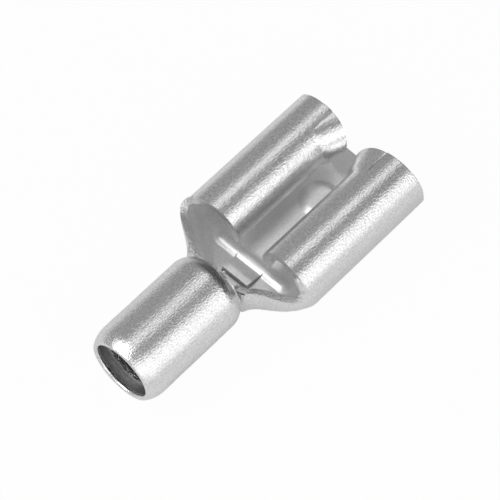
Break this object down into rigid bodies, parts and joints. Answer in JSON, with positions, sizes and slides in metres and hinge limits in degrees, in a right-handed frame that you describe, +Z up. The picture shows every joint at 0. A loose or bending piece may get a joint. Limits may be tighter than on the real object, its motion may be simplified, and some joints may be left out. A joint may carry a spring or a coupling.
{
  "type": "female spade terminal",
  "caption": "Uninsulated female spade terminal for a 6.3 mm blade, with rolled receptacle, open neck and plain tubular crimp sleeve, bright tin finish.",
  "frame": {"origin": "middle of the footprint, at the lowest line of the crimp sleeve", "axes": "+X from the wire entry to the mating end, +Z up away from the flat floor, +Y to the left when looking along +X"},
  "size_m": [0.0166, 0.0076, 0.004],
  "materials": {
    "tinned_sheet": "satin",
    "tinned_tube": "satin"
  },
  "bodies": {
    "root": {"terminal_body": "tinned_sheet", "crimp_sleeve": "tinned_tube"}
  },
  "joints": []
}
